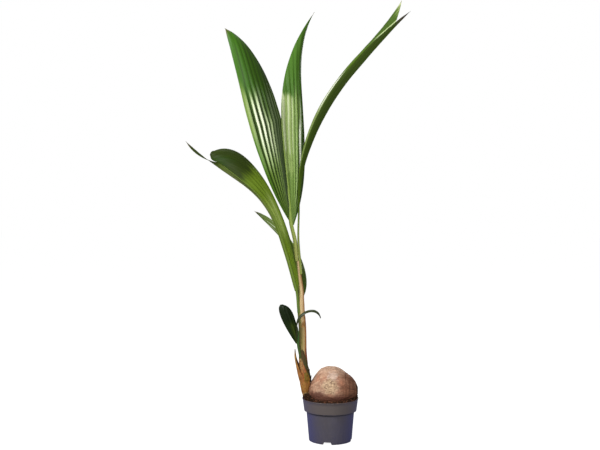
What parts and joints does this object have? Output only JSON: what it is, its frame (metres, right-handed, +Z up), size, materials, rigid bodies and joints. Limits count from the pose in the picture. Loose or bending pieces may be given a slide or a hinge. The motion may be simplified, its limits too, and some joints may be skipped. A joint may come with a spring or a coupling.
{
  "type": "potted coconut palm",
  "caption": "Young coconut palm growing from a husked coconut that lies half buried in a round nursery pot; pleated, forked leaves on a slim stem. A free-standing house plant.",
  "frame": {"origin": "centre of the pot's flat underside, on the surface that the pot stands on", "axes": "+Z up, +Y away from the viewer of the picture, +X to the viewer's right; the stem rises at -X and the coconut lies along X"},
  "size_m": [0.7259, 0.3057, 1.482],
  "materials": {
    "pot_plastic": "satin",
    "potting_soil": "matte",
    "coconut_husk": "matte",
    "stem_skin": "satin",
    "dry_sheath": "matte",
    "leaf_stalk": "satin",
    "leaf_green": "satin",
    "small_leaf_green": "satin"
  },
  "bodies": {
    "root": {"pot": "pot_plastic", "soil": "potting_soil", "coconut": "coconut_husk", "stem": "stem_skin", "foot_sheath": "dry_sheath", "scale_1": "dry_sheath", "scale_2": "dry_sheath", "upright_leaf_stalk": "leaf_stalk", "upright_leaf_left_half": "leaf_green", "upright_leaf_right_half": "leaf_green", "right_leaf_stalk": "leaf_stalk", "right_leaf_near_half": "leaf_green", "right_leaf_far_half": "leaf_green", "arching_leaf_stalk": "leaf_stalk", "arching_leaf_broad_half": "leaf_green", "arching_leaf_narrow_half": "leaf_green", "back_leaf_blade": "leaf_green", "small_leaf_stalk": "small_leaf_green", "small_leaf_broad_half": "small_leaf_green", "small_leaf_thin_half": "small_leaf_green"}
  },
  "joints": []
}
